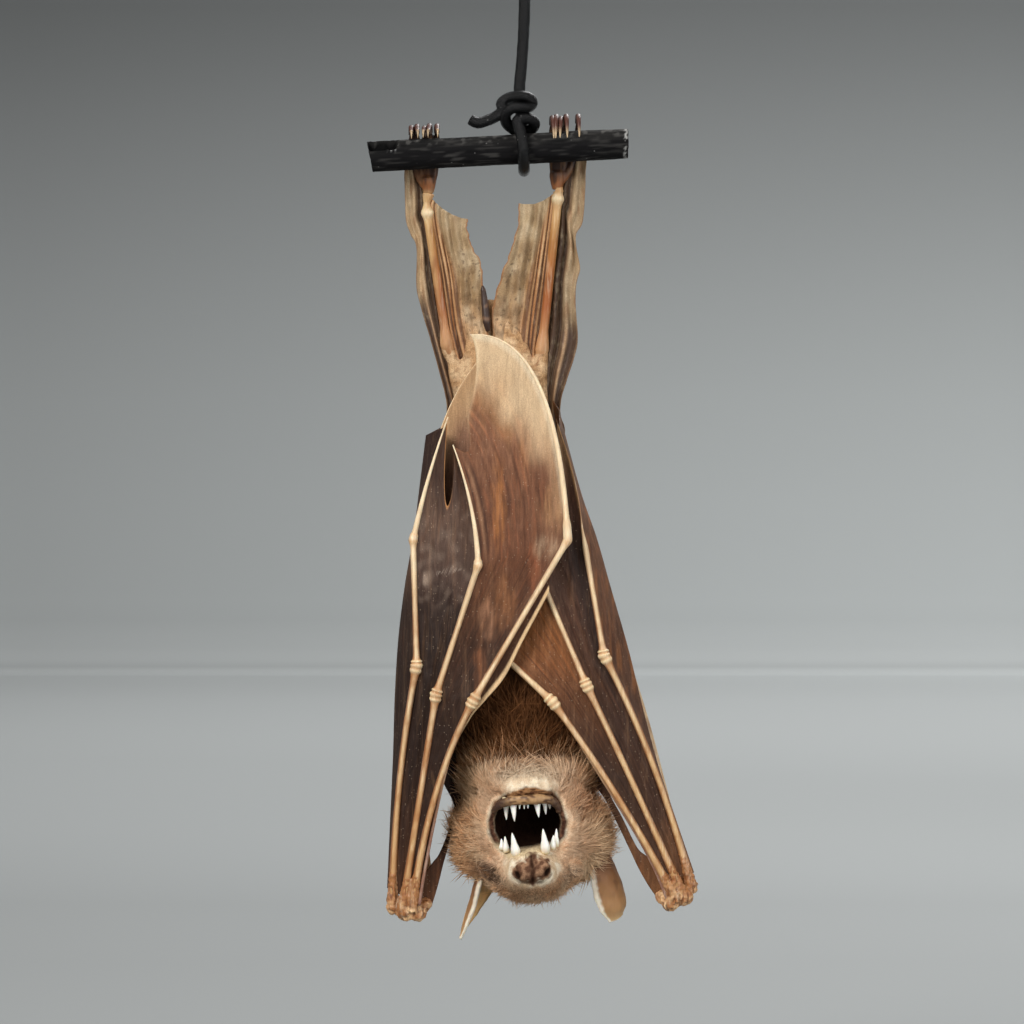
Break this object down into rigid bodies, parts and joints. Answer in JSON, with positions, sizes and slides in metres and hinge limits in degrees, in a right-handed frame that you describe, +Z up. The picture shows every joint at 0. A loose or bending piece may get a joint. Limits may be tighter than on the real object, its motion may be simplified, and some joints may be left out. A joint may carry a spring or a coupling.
{
  "type": "mounted fruit bat specimen",
  "caption": "Dried short-nosed fruit bat hanging head down by its feet from a short black stick on a cord, wings folded across the belly and mouth open.",
  "frame": {"origin": "centre of the flat top face of the ceiling hook's plate, the face that is screwed up against a ceiling", "axes": "+Z up, out of the plate's flat face; the bat hangs down -Z with its belly towards -Y and its own left side towards -X"},
  "size_m": [0.0661, 0.0373, 0.2139],
  "materials": {
    "fur": "short soft fur, tan on the head, brown on the belly",
    "wing_skin": "thin dry skin, dark purple-brown",
    "pale_skin": "thin dry skin, pale olive-tan",
    "bone": "cream finger bone under dry skin, satin",
    "nose_skin": "bare brown skin with dark claws",
    "eye": "dark, glossy",
    "ear_skin": "tan skin with a cream rim",
    "stick_wood": "charcoal black, dry",
    "cord_rubber": "black, glossy",
    "hook_steel": "satin steel"
  },
  "bodies": {
    "root": {"arm_web_left": "wing_skin", "arm_web_right": "wing_skin", "ceiling_hook": "hook_steel", "cord_knot": "cord_rubber", "cord_run": "cord_rubber", "cord_tail": "cord_rubber", "cord_top_loop": "cord_rubber", "digit_2_left": "bone", "digit_2_right": "bone", "digit_3_left": "bone", "digit_3_right": "bone", "digit_4_left": "bone", "digit_4_right": "bone", "digit_5_left": "bone", "digit_5_right": "bone", "ear_left": "ear_skin", "ear_right": "ear_skin", "eye_left": "eye", "eye_right": "eye", "flank_web_left": "wing_skin", "flank_web_right": "wing_skin", "foot_left": "nose_skin", "foot_right": "nose_skin", "forearm_left": "bone", "forearm_right": "bone", "head": "fur", "leg_web_left": "pale_skin", "leg_web_right": "pale_skin", "lower_jaw": "fur", "middle_web_left": "wing_skin", "middle_web_right": "wing_skin", "neck": "fur", "nose": "nose_skin", "perch_stick": "stick_wood", "shin_left": "bone", "shin_right": "bone", "shoulder_web_left": "wing_skin", "shoulder_web_right": "wing_skin", "side_web_left": "wing_skin", "side_web_right": "wing_skin", "tail": "wing_skin", "tail_web_left": "pale_skin", "tail_web_right": "pale_skin", "thigh_left": "fur", "thigh_right": "fur", "thumb_left": "bone", "thumb_right": "bone", "tip_web_left": "wing_skin", "tip_web_right": "wing_skin", "trunk": "fur", "upper_arm_left": "fur", "upper_arm_right": "fur", "wrist_left": "bone", "wrist_right": "bone"}
  },
  "joints": []
}
